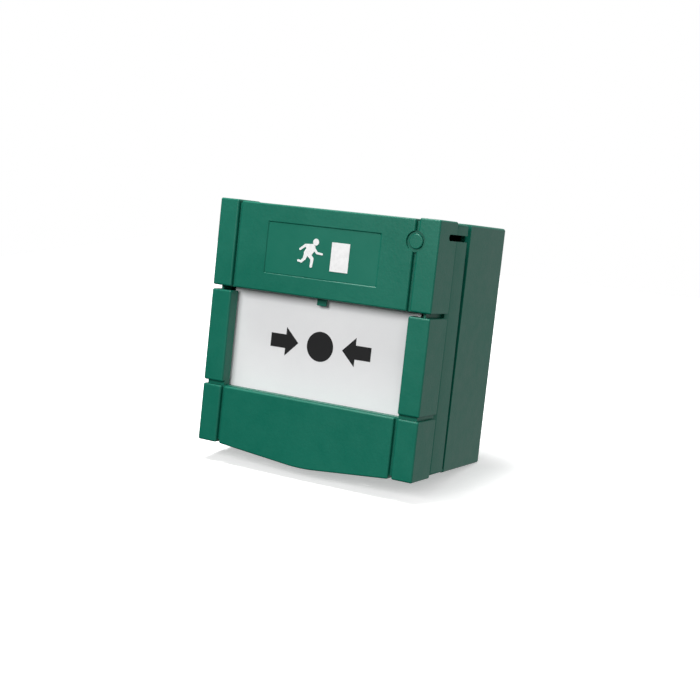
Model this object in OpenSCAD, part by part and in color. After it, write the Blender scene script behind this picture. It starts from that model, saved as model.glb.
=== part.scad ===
// Manual call point: a surface-mounted, push-to-operate emergency door release.
// +X is to the right, +Y is into the wall and +Z is up, seen from the front.
// The origin is the centre of the back box's wall face. All sizes are in millimetres.

/* [Cover] */
// Width of the cover, the widest piece
cover_w = 89; // [88:0.5:91]
// Height of the cover's side blocks
cover_h = 90; // [89.5:0.5:92]
// How far the cover's pointed lower lip hangs below the side blocks
lip_drop = 3; // [2:0.5:4]
// Depth of the cover, front to back
cover_d = 14.7; // [14.5:0.1:15.5]
// Thickness of the cover's front wall
front_wall = 2.2; // [2:0.1:2.4]
// Height of the window's upper edge above the centre
window_top = 13.1; // [12.9:0.1:13.3]
// Depth of the window's lower edge below the centre
window_bottom = 23.5; // [23:0.1:23.8]
// Half the window's width
window_x = 36.2; // [36:0.1:36.6]
// Width of the moulded grooves and gaps between the blocks
groove_w = 1.4; // [1:0.1:1.6]
// Depth of the vertical grooves
groove_d = 1.5; // [0.6:0.1:1.6]

/* [Back box] */
// Width of the back box
box_w = 88; // [87:0.5:89]
// Height of the back box
box_h = 89.4; // [89:0.2:90]
// Depth of the back box
box_d = 32; // [31:0.5:34]
// Thickness of the back box's side walls
box_wall = 2.2; // [1.8:0.1:2.2]
// Distance between the two screw posts, the single-gang standard
post_gap = 60.3; // [60:0.1:60.6]
// Horizontal distance between the wall screw holes
fix_gap_x = 50; // [46:1:54]
// Vertical distance between the wall screw holes
fix_gap_z = 60; // [56:1:64]
// Radius of the wall screw holes
fix_hole_r = 2.25; // [2:0.05:2.6]
// Radius of the cable entry and of the knock-outs
entry_r = 10.25; // [10:0.05:10.5]

/* [Mechanism] */
// How far the operating element sits behind the front face
element_set = 6.1; // [6:0.1:6.3]
// Thickness of the operating element
element_t = 2; // [1.8:0.1:2.2]
// Height of the alarm flag plate
flag_h = 11.8; // [11:0.2:12]
// Rise of the cam face on the key barrel, in degrees
cam_slope = 28; // [22:1:28]

/* [Hidden] */
$fn = 64;
eps = 0.01;

// Planes along Y, from the front face to the wall
neck_d = 12.8;
front_y = -(box_d + neck_d + cover_d);
cover_back = front_y + cover_d;
plate_t = 1.8;
plate_back = cover_back + plate_t;
box_front = -box_d;
element_y = front_y + element_set;
element_back = element_y + element_t;
hinge_y = element_y + element_t / 2;

// Half sizes across X and Z
cover_x = cover_w / 2;
cover_z = cover_h / 2;
cover_in_x = 41;
cover_in_z = cover_z - front_wall;
box_x = box_w / 2;
box_z = box_h / 2;
neck_x = box_x - 0.2;
neck_z = box_z - 0.2;
groove_x = 35.9;
sign_z = (window_top + cover_z) / 2;
indicator_z = cover_z - 8.05;

// Mechanism places, as [y, z]
lever_axis = [cover_back - 4.4, 28];
leaf_axis = [cover_back - 0.2, 31];
barrel_y = cover_back - 7.2;
hinge_z = -26.2;
latch_z = -40;
slide_y = cover_back - 0.2;
board_y = box_front - 0.6;
board_t = 1.6;

green = [0.02, 0.36, 0.27];
white = [0.9, 0.9, 0.91];
black = [0.08, 0.08, 0.09];
steel = [0.7, 0.7, 0.72];

// A box from its lowest corner to its highest corner
module span(low, high) {
    translate(low) cube(high - low);
}

// Round bars along each axis
module bar_x(r, x0, x1, y, z) {
    translate([x0, y, z]) rotate([0, 90, 0]) cylinder(r = r, h = x1 - x0);
}

module bar_y(r, y0, y1, x, z) {
    translate([x, y0, z]) rotate([-90, 0, 0]) cylinder(r = r, h = y1 - y0);
}

module bar_z(r, z0, z1, x, y) {
    translate([x, y, z0]) cylinder(r = r, h = z1 - z0);
}

// A shape drawn in X and Z and given thickness from y0 back to y1
module slab(y0, y1) {
    translate([0, y1, 0]) rotate([90, 0, 0]) linear_extrude(y1 - y0) children();
}

// A rectangle with round corners, centred on the origin
module round_rect(w, h, r) {
    square([w - 2 * r, h], center = true);
    square([w, h - 2 * r], center = true);
    for (x = [-1, 1], z = [-1, 1])
        translate([x * (w / 2 - r), z * (h / 2 - r)]) circle(r = r, $fn = 32);
}

// Both sides of the middle plane
module both_sides() {
    children();
    mirror([1, 0, 0]) children();
}

// A rectangular ring wall, open front and back
module ring_wall(x_out, z_out, wall, y0, y1, r = 1) {
    slab(y0, y1) difference() {
        round_rect(2 * x_out, 2 * z_out, r);
        square([2 * (x_out - wall), 2 * (z_out - wall)], center = true);
    }
}

// A round wire swept along a list of points
module wire(points, r, sides = 8) {
    n = len(points);
    tangents = [for (i = [0:n - 1])
        let (d = points[min(i + 1, n - 1)] - points[max(i - 1, 0)]) d / norm(d)];
    ring = [for (i = [0:n - 1])
        let (t = tangents[i],
             pick = abs(t[2]) > 0.9 ? [1, 0, 0] : [0, 0, 1],
             c = cross(t, pick), u = c / norm(c), v = cross(t, u))
        for (k = [0:sides - 1])
            points[i] + r * cos(360 * k / sides) * u + r * sin(360 * k / sides) * v];
    walls = [for (i = [0:n - 2], k = [0:sides - 1])
        let (a = i * sides + k, b = i * sides + (k + 1) % sides)
        [a, b, b + sides, a + sides]];
    first = [[for (k = [sides - 1:-1:0]) k]];
    last = [[for (k = [0:sides - 1]) (n - 1) * sides + k]];
    polyhedron(points = ring, faces = concat(walls, first, last), convexity = 6);
}

// ---------------------------------------------------------------- back box

// The ring of thin wall round a 20 mm conduit knock-out
module knockout_groove(z0, z1) {
    difference() {
        bar_z(entry_r, z0, z1, 0, -box_d / 2);
        bar_z(entry_r - 0.8, z0 - 1, z1 + 1, 0, -box_d / 2);
    }
}

module back_box() {
    back_wall = 2.4;
    post_r = 4;
    screw_bore_r = 1.8;
    groove_depth = 1.4;
    color(green) difference() {
        union() {
            ring_wall(box_x, box_z, box_wall, box_front, 0);
            slab(-back_wall, 0) round_rect(box_w, box_h, 1);
            both_sides() {
                bar_y(post_r, box_front, -1, post_gap / 2, 0);
                span([post_gap / 2 + 2, box_front + 3.4, -1], [box_x - 1, -1, 1]);
            }
            for (x = [-1, 1], z = [-1, 1])
                bar_y(4.5, -3.6, -1, x * fix_gap_x / 2, z * fix_gap_z / 2);
        }
        both_sides() bar_y(screw_bore_r, box_front - 1, -11, post_gap / 2, 0);
        for (x = [-1, 1], z = [-1, 1])
            bar_y(fix_hole_r, -6, 1, x * fix_gap_x / 2, z * fix_gap_z / 2);
        bar_y(entry_r, -6, 1, 0, 19);
        knockout_groove(box_z - groove_depth, box_z + 1);
        knockout_groove(-box_z - 1, -box_z + groove_depth);
    }
}

// ---------------------------------------------------------------- chassis

// The seam between neck and box opens towards the top of each side
module seam_relief() {
    seam_low = 0.9;
    seam_high = 2.6;
    low_z = -43.2;
    rotate([90, 0, 90]) translate([0, 0, 39.6]) linear_extrude(6)
        polygon([
            [box_front - seam_low, low_z], [box_front + 1, low_z],
            [box_front + 1, neck_z + 1], [box_front - seam_high, neck_z + 1]
        ]);
}

module chassis_shell() {
    neck_wall = 2.8;
    skirt_x = 41.5;
    skirt_z = 42.2;
    difference() {
        union() {
            slab(cover_back, plate_back) round_rect(2 * neck_x, 2 * neck_z, 1);
            ring_wall(neck_x, neck_z, neck_wall, cover_back, box_front - 0.1);
            ring_wall(skirt_x, skirt_z, 1.6, box_front - 5, box_front + 3);
            ring_wall(40.4, 42.1, 1.5, cover_back - 1.5, cover_back + 0.5);
        }
        // the neck's front edges lean in towards the cover
        both_sides() translate([neck_x, cover_back, -50]) linear_extrude(100)
            polygon([[-0.84, -0.1], [0.04, 2.1], [2, 2.1], [2, -0.1]]);
        for (z = [-neck_z, neck_z])
            translate([0, cover_back, z]) rotate([45, 0, 0]) cube([100, 1.5, 1.5], center = true);
        both_sides() {
            seam_relief();
            // the hinged-shield slot runs back through the neck
            span([38.6, cover_back - 1, cover_z - 6.75], [46, box_front - 1.5, cover_z - 4.5]);
            // the slots that take the cover's hinge tongues
            span([19.5, cover_back - 2, 38.8], [28.5, plate_back + 1, 42.05]);
            // room for the cover latch in the lower rim
            span([-1, cover_back - 2, -44], [31, cover_back, -36]);
        }
        // the window for the trip lever and switch leaf
        span([-3.8, cover_back - 1, 7], [3.8, plate_back + 1, 34]);
    }
}

module lever_ears() {
    both_sides() difference() {
        span([7.5, lever_axis[0] - 2.6, 25.2], [9.5, cover_back + eps, 30.8]);
        bar_x(1.03, 7, 10, lever_axis[0], lever_axis[1]);
    }
}

module flag_guides() {
    both_sides() difference() {
        span([32, front_y + 4.2, 16.5], [35.5, cover_back + eps, 30]);
        span([31, front_y + 4.9, 16], [33.4, front_y + 6.1, 31]);
        span([31, front_y + 7.2, 16], [34.1, cover_back - 1.2, 31]);
    }
}

module element_cradles() {
    both_sides() difference() {
        span([35.5, hinge_y - 1.9, -30], [38, cover_back + eps, hinge_z]);
        bar_x(1.25, 35, 39, hinge_y, hinge_z);
        span([35, element_back + 1.2, -28.4], [39, cover_back - 1.5, -20]);
    }
}

module slide_rails() {
    both_sides() for (z = [-21, -10.5]) {
        span([2.8, slide_y - 3, z], [4.3, cover_back + eps, z + 8]);
        span([1.6, slide_y - 3.6, z], [4.3, slide_y - 2.7, z + 8]);
    }
}

module barrel_bracket() {
    difference() {
        union() {
            bar_z(4.4, -39.5, -32.6, 0, barrel_y);
            span([-4.4, barrel_y, -35], [4.4, cover_back + eps, -32.6]);
        }
        bar_z(3.25, -42, -31, 0, barrel_y);
    }
}

module latch_guides() {
    both_sides() {
        span([26.3, cover_back - 3.4, -41.5], [28.6, cover_back + eps, -34]);
        span([24.6, cover_back - 3.4, -41.5], [26.6, cover_back - 2.6, -34]);
        span([9.5, cover_back - 3.2, -31.2], [14.5, cover_back + eps, -30]);
    }
}

module chassis() {
    sleeve_end = box_front - 0.2;
    color(green) difference() {
        union() {
            chassis_shell();
            lever_ears();
            flag_guides();
            element_cradles();
            slide_rails();
            barrel_bracket();
            latch_guides();
            both_sides() bar_y(4, plate_back - eps, sleeve_end, post_gap / 2, 0);
            for (x = [-18, 18], z = [-29, 29])
                bar_y(2.6, plate_back - eps, board_y, x, z);
            // the wall that the switch is screwed to
            span([3.8, plate_back - eps, 13], [5.8, board_y - 0.2, 32.5]);
        }
        both_sides() bar_y(1.9, cover_back - 1, box_front, post_gap / 2, 0);
        for (x = [-18, 18], z = [-29, 29]) bar_y(1.25, -40, board_y + 1, x, z);
        for (z = [18, 27.5]) bar_x(1.05, 3, 7, plate_back + 6.2, z);
    }
}

// A pan-head screw along +Y: its head's underside is at y
module pan_screw(x, y, z, head_r, head_h, shank_r, length) {
    slot = head_r * 0.28;
    difference() {
        union() {
            bar_y(head_r, y - head_h, y, x, z);
            bar_y(shank_r, y - eps, y + length, x, z);
        }
        span([x - head_r, y - head_h - 1, z - slot / 2],
             [x + head_r, y - head_h * 0.5, z + slot / 2]);
        span([x - slot / 2, y - head_h - 1, z - head_r * 0.7],
             [x + slot / 2, y - head_h * 0.4, z + head_r * 0.7]);
    }
}

module chassis_screws() {
    color(steel) both_sides() pan_screw(post_gap / 2, cover_back, 0, 3.3, 2.1, 1.75, 28);
}

// ---------------------------------------------------------------- electrics

module circuit_board() {
    color([0.05, 0.3, 0.12]) difference() {
        span([-22, board_y, -34], [22, board_y + board_t, 34]);
        for (x = [-18, 18], z = [-29, 29]) bar_y(1.4, board_y - 1, board_y + 3, x, z);
        for (z = [16, 23, 30])
            span([-0.5, board_y - 1, z - 2], [0.9, board_y + 3, z + 2]);
    }
}

module board_screws() {
    back = board_y + board_t;
    color(steel) for (x = [-18, 18], z = [-29, 29]) difference() {
        union() {
            bar_y(2.2, back, back + 1.5, x, z);
            bar_y(1.2, back - 7, back + eps, x, z);
        }
        span([x - 3, back + 0.8, z - 0.3], [x + 3, back + 2, z + 0.3]);
    }
}

ways = 6;
pitch = 5.08;
block_y0 = board_y + board_t;
block_y1 = block_y0 + 10.5;
block_z0 = -33;
function way_x(i) = (i - (ways - 1) / 2) * pitch;

module terminal_block() {
    color([0.12, 0.3, 0.22]) difference() {
        span([-ways * pitch / 2 - 0.3, block_y0, block_z0], [ways * pitch / 2 + 0.3, block_y1, block_z0 + 10]);
        for (i = [0:ways - 1]) {
            bar_y(2, block_y0 + 4.6, block_y1 + 1, way_x(i), block_z0 + 5);
            span([way_x(i) - 1.9, block_y0 + 0.8, block_z0 - 1],
                 [way_x(i) + 1.9, block_y0 + 4.7, block_z0 + 7.2]);
        }
        // a sloped lead-in over the wire openings
        rotate([90, 0, 90]) translate([0, 0, -20]) linear_extrude(40)
            polygon([[block_y1 + 1, block_z0 - 1], [block_y1 - 2.5, block_z0 - 1], [block_y1 + 1, block_z0 + 2.5]]);
    }
}

module terminal_screws() {
    color(steel) for (i = [0:ways - 1]) difference() {
        union() {
            bar_y(1.9, block_y1 - 2.2, block_y1 - 0.4, way_x(i), block_z0 + 5);
            bar_y(1.2, block_y0 + 4.8, block_y1 - 2.2 + eps, way_x(i), block_z0 + 5);
        }
        span([way_x(i) - 2, block_y1 - 1.3, block_z0 + 4.65], [way_x(i) + 2, block_y1, block_z0 + 5.35]);
    }
}

module terminal_clamps() {
    color([0.75, 0.6, 0.3]) for (i = [0:ways - 1]) difference() {
        span([way_x(i) - 1.8, block_y0 + 0.9, block_z0 + 1], [way_x(i) + 1.8, block_y0 + 4.5, block_z0 + 7]);
        span([way_x(i) - 1.3, block_y0 + 1.4, block_z0], [way_x(i) + 1.3, block_y0 + 4, block_z0 + 8]);
    }
}

case_y0 = plate_back + 0.2;
case_y1 = board_y - 0.2;
plunger_z = 25;

module switch_case() {
    color(black) difference() {
        span([-2.65, case_y0, 13], [3.75, case_y1, 32.5]);
        for (z = [18, 27.5]) bar_x(1.1, -4, 5, plate_back + 6.2, z);
        bar_y(1.15, case_y0 - 1, case_y0 + 3, 0, plunger_z);
        span([-2, case_y0 - 1, leaf_axis[1] - 1.4], [2, case_y0 + 0.9, leaf_axis[1] + 1.6]);
    }
}

module switch_screws() {
    color(steel) for (z = [18, 27.5]) difference() {
        union() {
            bar_x(1.9, -4.05, -2.65, plate_back + 6.2, z);
            bar_x(1, -2.66, 6.4, plate_back + 6.2, z);
        }
        span([-5, plate_back + 6, z - 2], [-3.4, plate_back + 6.4, z + 2]);
    }
}

module switch_blades() {
    color([0.8, 0.75, 0.55]) for (z = [16, 23, 30])
        span([-0.2, case_y1, z - 1.6], [0.6, case_y1 + 4.6, z + 1.6]);
}

module switch_plunger() {
    color([0.6, 0.08, 0.06]) union() {
        bar_y(1.05, case_y0 - 2.4, case_y0 + 1.4, 0, plunger_z);
        bar_y(1.04, case_y0 + 1.3, case_y0 + 1.6, 0, plunger_z);
    }
}

// The leaf hangs from its root on the switch and covers the plunger
module switch_leaf() {
    leaf_y = leaf_axis[0] - 0.95;
    color(steel) union() {
        span([-1.7, leaf_y, 11.5], [1.7, leaf_y + 0.4, leaf_axis[1] + 0.4]);
        span([-1.7, leaf_y, leaf_axis[1]], [1.7, case_y0 + 0.6, leaf_axis[1] + 0.4]);
    }
}

// ---------------------------------------------------------------- trip mechanism

module trip_lever() {
    axis_y = lever_axis[0];
    axis_z = lever_axis[1];
    color([0.85, 0.85, 0.8]) difference() {
        union() {
            bar_x(2.3, -7.2, 3.6, axis_y, axis_z);
            span([-3, axis_y - 1.2, 10.4], [2.9, axis_y + 0.4, axis_z]);
            span([-3, element_back + 0.3, 10.4], [2.9, axis_y, 13]);
            span([-1.2, axis_y, 13.4], [1.2, axis_y + 1.6, 15.4]);
            span([-3, axis_y - 1.2, axis_z], [2.9, axis_y + 0.4, axis_z + 6]);
        }
        bar_x(1.05, -8, 5, axis_y, axis_z);
    }
}

module lever_pin() {
    color(steel) bar_x(1, -10.2, 10.2, lever_axis[0], lever_axis[1]);
}

// A torsion spring round the lever's pin, with a leg on the chassis plate
module lever_spring() {
    coil_r = 1.75;
    wire_r = 0.24;
    turns = 4;
    steps = 12;
    start_x = 4.1;
    pitch_x = 0.62;
    coil = [for (i = [0:turns * steps])
        let (a = 360 * i / steps)
        [start_x + pitch_x * i / steps, lever_axis[0] + coil_r * cos(a), lever_axis[1] + coil_r * sin(a)]];
    leg = [[start_x + pitch_x * turns + 0.1, lever_axis[0] + coil_r, lever_axis[1] + 1.6],
           [start_x + pitch_x * turns + 0.1, cover_back - 0.35, lever_axis[1] + 3.4],
           [start_x + pitch_x * turns + 0.1, cover_back - 0.3, lever_axis[1] + 5.6]];
    color(steel) wire(concat(coil, leg), wire_r, 6);
}

module alarm_flag() {
    flag_y = front_y + 5.2;
    flag_z = 15.2;
    color([0.95, 0.75, 0.05]) difference() {
        union() {
            span([-31.6, flag_y, flag_z], [31.6, flag_y + 0.6, flag_z + flag_h]);
            both_sides() span([31.5, flag_y, flag_z + 4.5], [33.1, flag_y + 0.6, flag_z + flag_h]);
            span([-12, flag_y + 0.5, flag_z + flag_h - 1.6], [12, flag_y + 1.2, flag_z + flag_h]);
        }
        both_sides() span([14, flag_y - 1, flag_z + 7.5], [26, flag_y + 1, flag_z + flag_h - 1.5]);
    }
}

module operating_element() {
    half_w = 38.2;
    top_z = 14.5;
    foot_z = hinge_z + 1;
    rib_y = element_back + 0.9;
    color(white) union() {
        span([-half_w, element_y, foot_z], [half_w, element_back, top_z]);
        both_sides() {
            span([34, element_y + 0.1, hinge_z + 0.35], [39.5, element_back - 0.1, foot_z + eps]);
            bar_x(1.2, 34, 39.5, hinge_y, hinge_z);
            span([22, element_back - eps, -20], [23.2, rib_y, 9]);
            span([8, element_back - eps, -20], [9.2, rib_y, 9]);
        }
    }
}

// ---------------------------------------------------------------- cover

// Half of the blunt, pointed lower lip, from its tip outwards
lip_slope = 0.09;
lip_tip = 6;
function lip_z(x) = -cover_z - lip_drop + (abs(x) < lip_tip
    ? lip_slope * x * x / (2 * lip_tip)
    : lip_slope * (abs(x) - lip_tip / 2));
lip_x = groove_x - groove_w / 2;

module cover_outline() {
    difference() {
        union() {
            square([cover_w, cover_h], center = true);
            polygon(concat(
                [[-lip_x, lip_z(lip_x)]],
                [for (x = [-lip_tip:1.5:lip_tip]) [x, lip_z(x)]],
                [[lip_x, lip_z(lip_x)]],
                [[lip_x, 0], [-lip_x, 0]]));
        }
    }
}

// The block sides, window, grooves and gaps that are cut into the cover
module cover_cuts() {
    gap_z = window_top;
    low_gap_z = -window_bottom;
    deep = cover_back + 1;
    // the window
    span([-window_x, front_y - 1, -window_bottom], [window_x, front_y + front_wall + 1, window_top]);
    both_sides() {
        // the open gap under each upper block, through the front wall and round the side
        span([window_x - 1, front_y - 1, gap_z - 1.5], [cover_x + 1, front_y + front_wall + eps, gap_z]);
        span([41.8, front_y - 1, gap_z - 1.5], [cover_x + 1, deep, gap_z]);
        // the shallow groove over each lower block
        span([window_x - 1, front_y - 1, low_gap_z - 0.1], [cover_x + 1, front_y + 1.4, low_gap_z + 1.3]);
        span([cover_x - 1.3, front_y - 1, low_gap_z - 0.1], [cover_x + 1, cover_back - 0.9, low_gap_z + 1.3]);
        // the vertical grooves
        for (z = [[window_top - 1, cover_z + 1], [-cover_z - 2, low_gap_z + 1]])
            span([groove_x - groove_w / 2, front_y - 1, z[0]], [groove_x + groove_w / 2, front_y + groove_d, z[1]]);
        // the slot that takes a hinged shield's arm
        span([40.5, front_y + 9.1, cover_z - 6.75], [cover_x + 1, deep, cover_z - 4.5]);
        bar_x(1.125, 40.5, cover_x + 1, front_y + 9.1, cover_z - 5.625);
        // the release slots for the latch
        span([18.5, cover_back - 5.9, -cover_z - 5], [23.5, cover_back - 3.9, -cover_in_z + 1]);
    }
    // the sign's recess
    translate([0, 0, sign_z]) slab(front_y - 1, front_y + 0.4) round_rect(45.8, 18.4, 1.2);
    // the indicator's seat: a counterbore and a hole
    bar_y(2.6, front_y - 1, front_y + 4, groove_x, indicator_z);
    // the key hole
    bar_z(2.2, -cover_z - 6, -cover_in_z + 1, 0, barrel_y);
}

// The jambs, sill, head and middle tab that frame the window behind the front wall
module window_frame() {
    frame_y = front_y + 4.9;
    inner = front_y + front_wall - eps;
    both_sides() span([window_x, inner, -window_bottom - 2], [window_x + 1.8, frame_y, window_top - 1.5]);
    span([-window_x - 1.8, inner, -window_bottom - 2], [window_x + 1.8, frame_y, -window_bottom]);
    span([-window_x - 1.8, inner, window_top], [window_x + 1.8, front_y + 4, window_top + 1.8]);
    // the tab reaches down in front of the element
    span([-1.9, front_y + 3, window_top], [1.9, frame_y, window_top + 1.8]);
    rotate([90, 0, 0]) translate([0, 0, -frame_y]) linear_extrude(1.1)
        polygon([[-1.9, window_top + 0.5], [1.9, window_top + 0.5], [1.6, window_top - 2.7], [-1.5, window_top - 2.7]]);
}

module front_cover() {
    color(green) difference() {
        union() {
            difference() {
                slab(front_y, cover_back) cover_outline();
                span([-cover_in_x, front_y + front_wall, -cover_in_z], [cover_in_x, cover_back + 1, cover_in_z]);
                cover_cuts();
            }
            window_frame();
            // boss round the indicator's hole, with the ring-shaped seat cut below
            difference() {
                bar_y(3.65, front_y + 0.6, front_y + 4, groove_x, indicator_z);
                bar_y(2.65, front_y, front_y + 5, groove_x, indicator_z);
            }
            both_sides() {
                // hinge tongues behind the top wall
                span([20, cover_back - 2.6, 40.3], [28, cover_back - 1.6, cover_in_z + eps]);
                span([20, cover_back - 2.6, 40.3], [28, cover_back + 2.3, 41.7]);
                // catches that the latch holds
                span([17.5, cover_back - 3.6, -cover_in_z - eps], [24.5, cover_back - 2, -40.6]);
            }
        }
        // the counterbore crosses the groove, so it is cut last
        difference() {
            bar_y(3.65, front_y - 1, front_y + 0.6, groove_x, indicator_z);
            bar_y(2.65, front_y - 2, front_y + 1, groove_x, indicator_z);
        }
        bar_y(2.65, front_y - 1, front_y + 5, groove_x, indicator_z);
    }
}

module sign_panel() {
    color([0.03, 0.42, 0.3]) translate([0, 0, sign_z])
        slab(front_y + 0.12, front_y + 0.4) round_rect(45.4, 18, 1);
}

// A round-ended stroke between two points, thick at the first and thin at the second
module stroke(a, b, ra, rb) {
    hull() {
        translate(a) circle(r = ra, $fn = 20);
        translate(b) circle(r = rb, $fn = 20);
    }
}

module running_figure() {
    translate([-2.6, 32.75]) circle(r = 1.2, $fn = 28);
    // the trunk leans forward from hip to shoulders
    polygon([
        [-6.9, 31.75], [-3.7, 32], [-2.75, 31.3], [-2.6, 30], [-4.2, 27.6], [-7, 27.9], [-7.15, 28.8],
        [-6.3, 30.3], [-6.9, 31]
    ]);
    // arms
    stroke([-6.75, 31.25], [-8.8, 29.7], 0.5, 0.38);
    stroke([-3.1, 30.3], [-1.8, 29], 0.55, 0.42);
    stroke([-1.8, 29], [0.3, 28.75], 0.42, 0.35);
    // legs
    stroke([-4.9, 28], [-3.55, 26.7], 0.8, 0.62);
    stroke([-3.55, 26.7], [-3.75, 24.1], 0.62, 0.5);
    stroke([-6.3, 28.1], [-6.7, 26.6], 0.8, 0.65);
    stroke([-6.7, 26.6], [-7.9, 25.4], 0.6, 0.45);
    stroke([-7.9, 25.4], [-9.2, 25.65], 0.42, 0.38);
}

module sign_marks() {
    color(white) slab(front_y + 0.02, front_y + 0.12) {
        running_figure();
        translate([3.9, 23.2]) square([7.2, 10.2]);
    }
}

module element_marks() {
    dot_z = -4.3;
    color(black) slab(element_y - 0.1, element_y) {
        translate([0, dot_z]) circle(r = 5.4);
        for (s = [-1, 1])
            polygon([
                [s * 9.1, dot_z], [s * 14.4, dot_z + 5.2], [s * 14.4, dot_z + 2.5],
                [s * 20.7, dot_z + 2.5], [s * 20.7, dot_z - 2.5], [s * 14.4, dot_z - 2.5],
                [s * 14.4, dot_z - 5.2]
            ]);
    }
}

module indicator_blank() {
    color(green) union() {
        bar_y(2.6, front_y + 0.1, front_y + 4.4, groove_x, indicator_z);
        bar_y(3.3, front_y + 4.05, front_y + 4.8, groove_x, indicator_z);
    }
}

// ---------------------------------------------------------------- key and latch

module key_barrel() {
    top_z = -29.4;
    rest_turn = 45;
    color([0.15, 0.15, 0.16]) difference() {
        union() {
            bar_z(4.1, -41.4, -39.7, 0, barrel_y);
            bar_z(3.2, -39.8, -32.5, 0, barrel_y);
            bar_z(2.4, -32.6, -31.7, 0, barrel_y);
            bar_z(3.2, -31.8, -27, 0, barrel_y);
        }
        // the sloped cam face, low at the back when at rest
        translate([0, barrel_y, top_z]) rotate([0, 0, rest_turn]) rotate([0, cam_slope, 0])
            translate([-10, -10, 0]) cube([20, 20, 10]);
        span([-2.6, barrel_y - 0.7, -42], [2.6, barrel_y + 0.7, -38.5]);
    }
}

module barrel_clip() {
    color(steel) difference() {
        bar_z(4.3, -32.4, -31.9, 0, barrel_y);
        bar_z(2.5, -33, -31, 0, barrel_y);
        span([-1.6, barrel_y - 6, -33], [1.6, barrel_y, -31]);
    }
}

module test_slide() {
    top_z = 7.6;
    foot_z = -28.6;
    color([0.85, 0.85, 0.8]) union() {
        span([-2.5, slide_y - 2.4, foot_z], [2.5, slide_y, top_z]);
        span([-2.5, barrel_y + 2.4, foot_z], [2.5, slide_y, foot_z + 1.6]);
        span([-0.7, barrel_y + 2.4, foot_z - 1.2], [0.7, barrel_y + 3.1, foot_z + 1]);
    }
}

module cover_latch() {
    color([0.85, 0.85, 0.8]) union() {
        span([-26, cover_back - 2.4, latch_z], [26, cover_back - 0.2, latch_z + 2.5]);
        both_sides() {
            span([18.2, cover_back - 5.5, latch_z], [23.8, cover_back - 0.2, latch_z + 1.5]);
            span([18.2, cover_back - 5.5, latch_z - 2.3], [23.8, cover_back - 4, latch_z + 1.5]);
        }
    }
}

module latch_springs() {
    spring_r = 1;
    wire_r = 0.2;
    turns = 5;
    steps = 12;
    low = latch_z + 2.75;
    high = -31.45;
    mid_y = cover_back - 1.5;
    color(steel) both_sides() wire([for (i = [0:turns * steps])
        [12 + spring_r * cos(360 * i / steps), mid_y + spring_r * sin(360 * i / steps),
         low + (high - low) * i / (turns * steps)]], wire_r, 6);
}

back_box();
chassis();
chassis_screws();
circuit_board();
board_screws();
terminal_block();
terminal_screws();
terminal_clamps();
switch_case();
switch_screws();
switch_blades();
switch_plunger();
switch_leaf();
trip_lever();
lever_pin();
lever_spring();
alarm_flag();
operating_element();
element_marks();
front_cover();
sign_panel();
sign_marks();
indicator_blank();
key_barrel();
barrel_clip();
test_slide();
cover_latch();
latch_springs();
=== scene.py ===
import math

import bmesh
import bpy
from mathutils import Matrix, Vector


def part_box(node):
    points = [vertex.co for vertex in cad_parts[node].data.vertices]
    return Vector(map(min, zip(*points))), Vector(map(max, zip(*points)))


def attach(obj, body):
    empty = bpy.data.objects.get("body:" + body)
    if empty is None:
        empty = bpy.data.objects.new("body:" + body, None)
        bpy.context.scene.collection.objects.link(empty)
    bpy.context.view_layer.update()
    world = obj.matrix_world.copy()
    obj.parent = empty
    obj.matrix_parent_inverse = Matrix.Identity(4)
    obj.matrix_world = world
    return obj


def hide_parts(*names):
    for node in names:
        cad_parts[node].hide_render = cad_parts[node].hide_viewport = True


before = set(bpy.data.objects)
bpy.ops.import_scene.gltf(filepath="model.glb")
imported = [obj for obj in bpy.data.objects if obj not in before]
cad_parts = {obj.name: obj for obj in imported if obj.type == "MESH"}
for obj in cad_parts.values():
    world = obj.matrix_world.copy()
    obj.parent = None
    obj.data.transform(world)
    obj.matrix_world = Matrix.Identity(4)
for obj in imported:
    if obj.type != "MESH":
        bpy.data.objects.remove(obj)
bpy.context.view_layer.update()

# ---------------------------------------------------------------- Back box
# The deep box that is screwed to the wall. It is an injection moulding in green
# plastic with a fine sparked grain, 2.2 mm thick, with its wall screw holes,
# rear cable entry and ringed knock-outs moulded in.

MM = 0.001


def deselect():
    if bpy.context.object and bpy.context.object.mode != "OBJECT":
        bpy.ops.object.mode_set(mode="OBJECT")
    bpy.ops.object.select_all(action="DESELECT")


def only(piece):
    deselect()
    piece.select_set(True)
    bpy.context.view_layer.objects.active = piece


def apply_all(piece):
    only(piece)
    for modifier in list(piece.modifiers):
        bpy.ops.object.modifier_apply(modifier=modifier.name)


def settle(piece, angle=35):
    """Puts the object at the origin with its place in its mesh, and shades it."""
    only(piece)
    bpy.ops.object.transform_apply(location=True, rotation=True, scale=True)
    bpy.ops.object.shade_smooth_by_angle(angle=math.radians(angle))
    even = piece.modifiers.new("even_faces", "WEIGHTED_NORMAL")
    even.keep_sharp, even.weight = True, 100
    bpy.ops.object.modifier_apply(modifier=even.name)
    return piece


def merged_copy(packed, name, edge=0.25, segments=2):
    """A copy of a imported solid, merged and planar again, with its sharp edges eased."""
    piece = bpy.data.objects[packed].copy()
    piece.data = piece.data.copy()
    piece.name, piece.parent = name, None
    bpy.context.scene.collection.objects.link(piece)
    only(piece)
    bpy.ops.object.mode_set(mode="EDIT")
    bpy.ops.mesh.select_all(action="SELECT")
    bpy.ops.mesh.remove_doubles(threshold=0.00001)
    bpy.ops.mesh.dissolve_limited(angle_limit=math.radians(0.5))
    bpy.ops.object.mode_set(mode="OBJECT")
    if edge:
        bevel = piece.modifiers.new("edges", "BEVEL")
        bevel.width, bevel.segments, bevel.angle_limit = edge * MM, segments, math.radians(38)
        apply_all(piece)
    return piece


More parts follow.
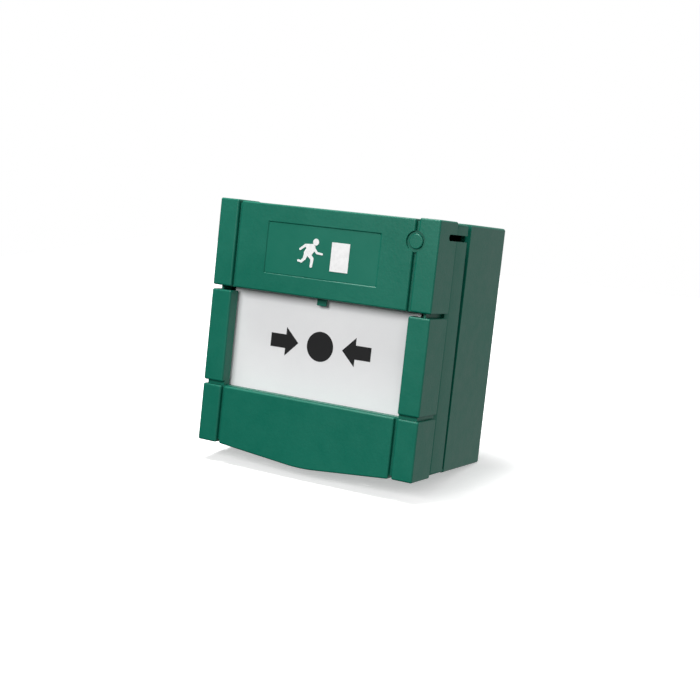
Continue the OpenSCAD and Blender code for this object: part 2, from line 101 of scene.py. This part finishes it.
class Shade:
    """A socket of a material's nodes, with the arithmetic that the finishes use."""

    def __init__(self, material, socket):
        self.material, self.socket = material, socket

    def maths(self, operation, other, swap=False):
        first, second = (other, self) if swap else (self, other)
        return node(self.material, "ShaderNodeMath", {"operation": operation}, first, second)

    def __add__(self, other):
        return self.maths("ADD", other)

    def __sub__(self, other):
        return self.maths("SUBTRACT", other)

    def __rsub__(self, other):
        return self.maths("SUBTRACT", other, swap=True)

    def __mul__(self, other):
        return self.maths("MULTIPLY", other)

    __radd__ = __add__
    __rmul__ = __mul__


def node(material, kind, settings, *values, output=0, **named):
    """Adds a node: its settings first, then the values or links of its sockets."""
    made = material.node_tree.nodes.new(kind)
    for key, value in settings.items():
        setattr(made, key, value)
    pairs = list(enumerate(values)) + list(named.items())
    for key, value in pairs:
        socket = made.inputs[key if isinstance(key, int) else key.replace("_", " ")]
        if isinstance(value, Shade):
            material.node_tree.links.new(value.socket, socket)
        else:
            socket.default_value = value
    return Shade(material, made.outputs[output])


def ramp(material, factor, stops):
    """A colour ramp through the stops, each a place and a colour."""
    made = material.node_tree.nodes.new("ShaderNodeValToRGB")
    elements = made.color_ramp.elements
    while len(elements) < len(stops):
        elements.new(0.5)
    for element, (place, colour) in zip(elements, stops):
        element.position, element.color = place, (*colour, 1)
    material.node_tree.links.new(factor.socket, made.inputs[0])
    return Shade(material, made.outputs[0])


def finish(name, **constants):
    """A material whose shader's own sockets hold what is the same all over."""
    material = bpy.data.materials.new(name)
    material.use_nodes = True
    shader = material.node_tree.nodes["Principled BSDF"]
    for key, value in constants.items():
        shader.inputs[key.replace("_", " ")].default_value = value
    return material


def feed(material, **links):
    shader = material.node_tree.nodes["Principled BSDF"]
    for key, value in links.items():
        material.node_tree.links.new(value.socket, shader.inputs[key.replace("_", " ")])


def place(material, output=3):
    return node(material, "ShaderNodeTexCoord", {}, output=output)


def noise(material, scale, detail=2.0, roughness=0.5):
    return node(material, "ShaderNodeTexNoise", {}, Vector=place(material),
                Scale=scale, Detail=detail, Roughness=roughness)


def bump(material, height, strength, distance):
    return node(material, "ShaderNodeBump", {}, Strength=strength, Distance=distance, Height=height)


def moulded(name, dark, light, grain=2600.0, depth=0.3, rough=(0.36, 0.5)):
    """Moulded plastic: a sparked grain, soft flow marks, and a faint unevenness of gloss."""
    material = finish(name, IOR=1.5, Specular_IOR_Level=0.3)
    fine = noise(material, grain, 3.0, 0.6)
    cell = node(material, "ShaderNodeTexVoronoi", {"feature": "SMOOTH_F1"},
                Vector=place(material), Scale=grain * 0.55)
    flow = noise(material, 34.0, 2.0, 0.55)
    haze = noise(material, 210.0, 3.0, 0.6)
    grainy = fine * 0.6 + cell * 0.4
    tone = flow * 0.4 + haze * 0.2 + fine * 0.4
    feed(
        material,
        Base_Color=ramp(material, tone, [(0.34, dark), (0.66, light)]),
        Roughness=node(material, "ShaderNodeMapRange", {}, Value=haze * 0.6 + flow * 0.4,
                       From_Min=0.3, From_Max=0.7, To_Min=rough[0], To_Max=rough[1]),
        Normal=bump(material, grainy, depth, 0.00012),
    )
    return material


green = moulded("green_moulding", (0.003, 0.122, 0.079), (0.005, 0.148, 0.098),
                grain=1500.0, depth=0.42, rough=(0.33, 0.46))


def dress(piece, material, body, slot, *nodes):
    piece.data.materials.clear()
    piece.data.materials.append(material)
    settle(piece)
    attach(piece, body)
    if nodes:
        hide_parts(*nodes)
    return piece


back_box = merged_copy("back_box", "back_box_shell", edge=0.45, segments=3)
dress(back_box, green, "housing", "green_plastic", "back_box")

# ---------------------------------------------------------------- Chassis
# The moulded plate and ring that everything is built on. Its rim is the green neck
# between cover and box, and it goes into the box with a skirt. It carries ears for
# the lever, guides for the flag and slide, cradles for the element and screw posts.

chassis = merged_copy("chassis", "chassis_moulding", edge=0.3, segments=2)
dress(chassis, green, "housing", "green_plastic", "chassis")

# ---------------------------------------------------------------- Screws, pin, clip and springs
# Zinc-plated steel screws with slots, a drawn pin, a stamped clip, and springs
# wound from hard wire: all bright, with a faint grain and duller in patches.


def metal(name, colour, rough=0.3, scale=900.0):
    material = finish(name, Metallic=1.0)
    patch = noise(material, 260.0, 3.0, 0.6)
    scratch = noise(material, scale, 4.0, 0.7)
    feed(
        material,
        Base_Color=ramp(material, patch, [(0.3, tuple(c * 0.82 for c in colour)), (0.7, colour)]),
        Roughness=node(material, "ShaderNodeMapRange", {}, Value=patch * 0.5 + scratch * 0.5,
                       From_Min=0.3, From_Max=0.7, To_Min=rough - 0.08, To_Max=rough + 0.14),
        Normal=bump(material, scratch, 0.12, 0.00005),
    )
    return material


def paint(name, material):
    target = bpy.data.objects[name]
    target.data.materials.clear()
    target.data.materials.append(material)


zinc = metal("bright_zinc", (0.62, 0.63, 0.66))
for part in ("chassis_screws", "board_screws", "terminal_screws", "switch_screws", "lever_pin",
             "barrel_clip"):
    paint(part, zinc)
spring_steel = metal("spring_steel", (0.5, 0.5, 0.52), rough=0.24, scale=1500.0)
for part in ("lever_spring", "latch_springs", "switch_leaf"):
    paint(part, spring_steel)

# ---------------------------------------------------------------- Circuit board and terminals
# A glass-fibre board with green solder resist, held by four screws, and a moulded
# terminal block whose brass rising clamps grip the cable cores under steel screws.

resist = finish("solder_resist", IOR=1.5, Coat_Weight=0.3, Coat_Roughness=0.2)
weave = node(resist, "ShaderNodeTexChecker", {}, Vector=place(resist), Scale=1400.0, output=1)
tracks = node(resist, "ShaderNodeTexWave", {"wave_type": "BANDS", "bands_direction": "X"},
              Vector=place(resist), Scale=120.0, Distortion=2.0, Detail=1.0, output=1)
feed(
    resist,
    Base_Color=ramp(resist, tracks * 0.8 + weave * 0.2,
                    [(0.35, (0.006, 0.06, 0.022)), (0.62, (0.014, 0.12, 0.045))]),
    Roughness=noise(resist, 300.0) * 0.25 + 0.22,
    Normal=bump(resist, tracks * 0.7 + weave * 0.3, 0.25, 0.00005),
)
paint("circuit_board", resist)
paint("terminal_block", moulded("terminal_moulding", (0.012, 0.075, 0.04), (0.02, 0.1, 0.055)))
brass = metal("plated_brass", (0.72, 0.5, 0.22))
for part in ("terminal_clamps", "switch_blades"):
    paint(part, brass)

# ---------------------------------------------------------------- Snap-action switch
# A small black switch screwed to a wall on the back of the chassis, with a red
# plunger that its leaf presses when the lever swings.

paint("switch_case", moulded("black_moulding", (0.012, 0.012, 0.013), (0.022, 0.022, 0.024)))
paint("switch_plunger",
      moulded("red_moulding", (0.33, 0.012, 0.008), (0.42, 0.02, 0.012), grain=3000.0))

# ---------------------------------------------------------------- Lever, slide and latch bar
# Working parts in natural acetal, slippery and slightly waxy, straight from the mould.

acetal = moulded("natural_acetal", (0.66, 0.65, 0.58), (0.74, 0.73, 0.67),
                 grain=2200.0, depth=0.08, rough=(0.28, 0.4))
for part in ("trip_lever", "test_slide", "cover_latch"):
    paint(part, acetal)

# ---------------------------------------------------------------- Key barrel
# A black barrel in the chassis bracket, with a slot for the key at the bottom
# and a sloping cam face at the top that lifts the slide as the key turns.

paint("key_barrel",
      moulded("barrel_moulding", (0.01, 0.01, 0.011), (0.02, 0.02, 0.021), grain=2000.0))

# ---------------------------------------------------------------- Alarm flag
# A thin yellow strip with black stripes. It hangs behind the cover's upper band and
# drops in front of the element's top when the element is pushed.

stripes = finish("flag_stripes", IOR=1.46)
at = place(stripes)
slant = node(stripes, "ShaderNodeTexWave", {"wave_type": "BANDS", "bands_direction": "DIAGONAL",
             "wave_profile": "SIN"}, Vector=at, Scale=58.0, output=1)
speck = noise(stripes, 1800.0)
feed(
    stripes,
    Base_Color=ramp(stripes, slant, [(0.48, (0.016, 0.016, 0.017)), (0.52, (0.85, 0.58, 0.02))]),
    Roughness=speck * 0.2 + 0.3,
    Normal=bump(stripes, speck, 0.1, 0.00005),
)
paint("alarm_flag", stripes)

# ---------------------------------------------------------------- Operating element
# The white moulded plate that is pushed. It stands on two trunnions in the chassis
# cradles and swings in about its lower edge. The dot and arrows are printed on it.

paint("operating_element",
      moulded("white_moulding", (0.82, 0.82, 0.83), (0.86, 0.86, 0.865),
              grain=3000.0, depth=0.04, rough=(0.34, 0.46)))


def ink(name, colour, rough):
    """Screen-printed ink: a thin film with fine pinholes and an uneven gloss."""
    material = finish(name, IOR=1.45, Specular_IOR_Level=0.3)
    film = noise(material, 900.0, 3.0, 0.6)
    feed(
        material,
        Base_Color=ramp(material, film, [(0.3, tuple(c * 0.9 for c in colour)), (0.7, colour)]),
        Roughness=film * 0.2 + rough,
        Normal=bump(material, film, 0.08, 0.00004),
    )
    return material


paint("element_marks", ink("black_ink", (0.013, 0.013, 0.014), 0.4))

# ---------------------------------------------------------------- Front cover
# One green moulding with a fine grain. Grooves and gaps divide its face into an upper
# band, two side blocks and a lower band with a hanging lip, each with rounded edges.
# It hooks over the chassis at the top and is held by a latch at the bottom.

cover_low, cover_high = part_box("front_cover")
front, back = round(cover_low[1] / MM, 3), -44.8
side, end = round(cover_high[0] / MM, 3), round(cover_high[2] / MM, 3)
wall = 2.2
inside_side, inside_end = 41, 42.8                    # half the hollow's width and height
panel_side, block_side = 35.2, 36.5                   # the two sides of each upright groove
window_side, window_bottom, window_top = 36.2, -23.5, 13.1
gap_bottom = 11.6                                     # the open gap runs from here to window_top
lower_top = -23.7                                     # the lower band's and lower blocks' top
skin_side = 41.8                                      # the thin wall left behind the open gap
rim_side = 38                                         # the outside of the walls round the window
clear = 46                                            # where a cut ends, past the cover's side
tab_side = 1.9
indicator_x, indicator_z = 35.9, 36.95
hook_z = 40.3
slot_side, slot_y = 40.5, front + 9.1
slot_low, slot_high = 38.25, 40.5
slot_middle = (slot_low + slot_high) / 2


def block(name, low, high, edge=0.0, segments=3):
    """A block between two corners, in mm, with every edge rounded."""
    deselect()
    low, high = Vector(low), Vector(high)
    bpy.ops.mesh.primitive_cube_add(size=1, location=(low + high) / 2 * MM)
    piece = bpy.context.object
    piece.name = name
    piece.scale = (high - low) * MM
    bpy.ops.object.transform_apply(location=True, rotation=True, scale=True)
    if edge:
        bpy.ops.object.mode_set(mode="EDIT")
        bpy.ops.mesh.select_all(action="SELECT")
        bpy.ops.mesh.bevel(offset=edge * MM, segments=segments, affect="EDGES")
        bpy.ops.object.mode_set(mode="OBJECT")
    return piece


def rod(name, radius, low, high, edge=0.0):
    """A round bar from low to high, two points in mm on one axis, with rounded rims."""
    deselect()
    low, high = Vector(low), Vector(high)
    along = high - low
    bpy.ops.mesh.primitive_cylinder_add(
        vertices=64, radius=radius * MM, depth=along.length * MM,
        location=(low + high) / 2 * MM, rotation=along.to_track_quat("Z", "Y").to_euler(),
    )
    piece = bpy.context.object
    piece.name = name
    bpy.ops.object.transform_apply(location=True, rotation=True, scale=True)
    if edge:
        rim = piece.modifiers.new("rim", "BEVEL")
        rim.width, rim.segments, rim.angle_limit = edge * MM, 3, math.radians(40)
        apply_all(piece)
    return piece


def join_or_cut(piece, tools, operation):
    """Applies a boolean with each tool in turn, and removes the tools."""
    for tool in tools:
        modifier = piece.modifiers.new("boolean", "BOOLEAN")
        modifier.operation, modifier.solver, modifier.object = operation, "EXACT", tool
        only(piece)
        bpy.ops.object.modifier_apply(modifier=modifier.name)
        bpy.data.objects.remove(tool)
    return piece


def add(piece, *tools):
    return join_or_cut(piece, tools, "UNION")


def cut(piece, *tools):
    return join_or_cut(piece, tools, "DIFFERENCE")


def pair(name, low, high, **kwargs):
    """A block on the right and the same block, mirrored, on the left."""
    left_low, left_high = (-high[0], *low[1:]), (-low[0], *high[1:])
    return block(name, low, high, **kwargs), block(name, left_low, left_high, **kwargs)


def lip_height(x):
    """The lower lip's edge: straight flanks that meet in a blunt middle."""
    x = abs(x)
    return -48 + (0.0075 * x * x if x < 6 else 0.09 * (x - 3))


def lower_panel(name):
    """The lower band's middle: a block whose underside is drawn down to the lip."""
    level, start = -46, -24.5
    piece = block(name, (-panel_side, front, level), (panel_side, back, lower_top))
    bpy.ops.object.mode_set(mode="EDIT")
    bpy.ops.mesh.select_all(action="SELECT")
    bpy.ops.mesh.subdivide(number_cuts=31)
    bpy.ops.object.mode_set(mode="OBJECT")
    for vertex in piece.data.vertices:
        x, z = vertex.co.x / MM, vertex.co.z / MM
        share = max(0.0, (start - z) / (start - level))
        vertex.co.z = (z + share * (lip_height(x) - level)) * MM
    bpy.ops.object.mode_set(mode="EDIT")
    bpy.ops.mesh.select_all(action="SELECT")
    bpy.ops.mesh.dissolve_limited(angle_limit=math.radians(0.6))
    bpy.ops.object.mode_set(mode="OBJECT")
    bevel = piece.modifiers.new("edges", "BEVEL")
    bevel.width, bevel.segments, bevel.angle_limit = 0.6 * MM, 4, math.radians(40)
    apply_all(piece)
    return piece


def ease_along_y(piece, radius):
    """Rounds only the edges that run from front to back."""
    only(piece)
    bpy.ops.object.mode_set(mode="EDIT")
    mesh = bmesh.from_edit_mesh(piece.data)
    for edge in mesh.edges:
        run = edge.verts[0].co - edge.verts[1].co
        edge.select_set(abs(run.y) > 0.9 * run.length)
    mesh.select_flush_mode()
    bmesh.update_edit_mesh(piece.data)
    bpy.ops.mesh.bevel(offset=radius * MM, segments=6, affect="EDGES")
    bpy.ops.object.mode_set(mode="OBJECT")
    return piece


def drafted(piece, low_y, spread):
    """Widens a cutter's front end, so that the walls it leaves slope outwards."""
    vertices = piece.data.vertices
    middle = sum((vertex.co for vertex in vertices), Vector()) / len(vertices)
    for vertex in vertices:
        if vertex.co.y / MM < low_y:
            for axis in (0, 2):
                away = 1 if vertex.co[axis] > middle[axis] else -1
                vertex.co[axis] += away * spread * MM
    return piece


def sign_recess():
    """The cutter of the shallow recess, with round corners, that takes the sign panel."""
    middle_z, half_width, half_height = (window_top + end) / 2, 22.75, 9.05
    piece = block("sign_recess", (-half_width, front - 0.2, middle_z - half_height),
                  (half_width, front + 0.4, middle_z + half_height))
    return drafted(ease_along_y(piece, 1.1), front, 0.55)


def indicator_rod(name, radius, low_y, high_y, edge=0.0):
    """A round bar on the indicator's axis, between two places measured from the front."""
    return rod(name, radius, (indicator_x, front + low_y, indicator_z),
               (indicator_x, front + high_y, indicator_z), edge=edge)


# the plain blocks first, then what is cut from them
rounded = {"edge": 0.65, "segments": 4}
cover = block("cover_moulding", (-43.3, front + 1.5, -43.9), (43.3, back, 43.9))
add(
    cover,
    block("upper_panel", (-panel_side, front, window_top), (panel_side, back, 44.6),
          edge=0.6, segments=4),
    lower_panel("lower_panel"),
    *pair("upper_block", (block_side, front, window_top), (side, back, end), **rounded),
    *pair("side_block", (window_side, front, -22.3), (side, back, gap_bottom), **rounded),
    *pair("lower_block", (block_side, front, -end), (side, back, lower_top), **rounded),
)
cut(
    cover,
    block("inside", (-inside_side, front + wall, -inside_end), (inside_side, back + 1, inside_end)),
    block("window", (-window_side, front - 1, window_bottom), (window_side, front + 3, window_top)),
    *pair("front_gap", (panel_side, front - 1, gap_bottom),
          (clear, front + wall + 0.01, window_top)),
    *pair("side_gap", (skin_side, front - 1, gap_bottom), (clear, back + 1, window_top)),
    *pair("shield_slot", (slot_side, slot_y, slot_low), (clear, back + 1, slot_high)),
    *(rod("slot_end", slot_high - slot_middle, (way * slot_side, slot_y, slot_middle),
          (way * clear, slot_y, slot_middle)) for way in (1, -1)),
    rod("key_hole", 2.2, (0, back - 7.2, -52), (0, back - 7.2, -42)),
    *pair("release_slot", (18.5, back - 5.9, -50), (23.5, back - 3.9, -42)),
)

# the walls behind the window, the indicator's boss, and the hooks and catches
add(
    cover,
    *pair("jamb", (window_side, front + 2, window_bottom - 2),
          (rim_side, front + 4.9, gap_bottom - 0.05)),
    block("sill", (-rim_side - 0.1, front + 2, window_bottom - 2.1),
          (rim_side + 0.1, front + 4.85, window_bottom)),
    block("head", (-rim_side, front + 2, window_top), (rim_side, front + 4, window_top + 1.8)),
    block("tab", (-tab_side, front + 3.8, 10.4), (tab_side, front + 4.9, window_top + 1.8),
          edge=0.3),
    block("tab_root", (-tab_side, front + 3, window_top),
          (tab_side, front + 4.9, window_top + 1.8)),
    indicator_rod("indicator_boss", 3.7, 0.4, 4),
    *pair("tongue_root", (20, back - 2.6, hook_z), (28, back - 1.6, inside_end + 0.05)),
    *pair("tongue", (20, back - 2.6, hook_z), (28, back + 2.3, hook_z + 1.4), edge=0.3),
    *pair("catch", (17.5, back - 3.6, -inside_end - 0.05), (24.5, back - 2, -40.6), edge=0.3),
)
cut(
    cover,
    indicator_rod("indicator_seat", 3.6, -1, 0.8),
    indicator_rod("indicator_hole", 2.65, -1, 5),
    sign_recess(),
)
dress(cover, green, "cover", "green_plastic", "front_cover")

# ---------------------------------------------------------------- Sign panel
# A thin printed green insert in the upper band's recess, with the white running
# figure and the white door printed on it.

paint("sign_panel", moulded("sign_green", (0.004, 0.134, 0.087), (0.006, 0.152, 0.101),
                            grain=5200.0, depth=0.05, rough=(0.34, 0.44)))
paint("sign_marks", ink("white_ink", (0.84, 0.84, 0.84), 0.42))

# ---------------------------------------------------------------- Indicator blank
# A round green plug that closes the indicator's hole at the upper right, pressed in
# from behind.

plug = indicator_rod("indicator_plug", 2.6, 0.1, 4.4, edge=0.4)
add(plug, indicator_rod("plug_flange", 3.3, 4.05, 4.8, edge=0.15))
dress(plug, green, "cover", "green_plastic", "indicator_blank")

# ---------------------------------------------------------------- Floor, light and camera
# The object leans back a little on a white studio table, under three square soft lights.

floor_size = 0.9
floor_height = -0.0448
slope = 0.13
deselect()
bpy.ops.mesh.primitive_plane_add(size=1, location=(0, 0, 0))
floor = bpy.context.object
floor.name = "studio_floor"
for vertex in floor.data.vertices:
    x, y = vertex.co.x * floor_size, vertex.co.y * floor_size
    vertex.co = (x, y, floor_height + slope * y)
table = finish("studio_white", Roughness=0.9, Emission_Strength=0.43, Specular_IOR_Level=0.0)
for name, value in (("Base Color", 0.8), ("Emission Color", 1.0)):
    table.node_tree.nodes["Principled BSDF"].inputs[name].default_value = (value, value, value, 1)
floor.data.materials.append(table)
floor.visible_diffuse = floor.visible_glossy = False

# the backdrop is white to look at, and lights the object from its right and from behind
world = bpy.data.worlds.new("studio")
bpy.context.scene.world = world
world.use_nodes = True
room = world.node_tree.nodes["Background"]
room.inputs["Color"].default_value = (1, 1, 1, 1)
seen = node(world, "ShaderNodeLightPath", {})
to_right = node(world, "ShaderNodeSeparateXYZ", {}, place(world, 0), output=0)
to_back = node(world, "ShaderNodeSeparateXYZ", {}, place(world, 0), output=1)
right_side = node(world, "ShaderNodeMath", {"operation": "MAXIMUM"}, to_right * 0.47, 0.0)
back_side = node(world, "ShaderNodeMath", {"operation": "MAXIMUM"}, to_back * 0.5, 0.0)
level = seen + (1 - seen) * (right_side + back_side)
world.node_tree.links.new(level.socket, room.inputs["Strength"])


def lamp(name, at, target, size, power):
    """A square soft light placed at one point and aimed at another, both in metres."""
    data = bpy.data.lights.new(name, "AREA")
    data.size, data.energy = size, power
    made = bpy.data.objects.new(name, data)
    bpy.context.scene.collection.objects.link(made)
    made.location = at
    made.rotation_euler = (Vector(target) - Vector(at)).to_track_quat("-Z", "Y").to_euler()


object_middle = (0, -0.03, 0)
lamp("overhead", (-0.18, -0.17, 0.84), object_middle, 0.3, 11.0)
lamp("front_key", (-0.1, -0.95, 0.36), object_middle, 0.5, 7.1)
lamp("right_fill", (0.45, -0.75, 0.45), object_middle, 0.5, 1.5)

camera_data = bpy.data.cameras.new("camera")
camera = bpy.data.objects.new("camera", camera_data)
bpy.context.scene.collection.objects.link(camera)
forward = Vector((-0.4672, 0.8785, -0.0997)).normalized()
right = Vector((0.8727, 0.4763, 0.1073))
right = (right - forward * right.dot(forward)).normalized()
up = right.cross(forward)
camera.location = (0.2198, -0.4437, 0.0406)
turn = camera.matrix_world.to_3x3()
for row in range(3):
    turn[row][0], turn[row][1], turn[row][2] = right[row], up[row], -forward[row]
camera.rotation_euler = turn.to_euler()
camera_data.sensor_width = 36
camera_data.lens = 64.66
camera_data.clip_start, camera_data.clip_end = 0.01, 20
bpy.context.scene.camera = camera
bpy.context.scene.view_settings.view_transform = "Standard"
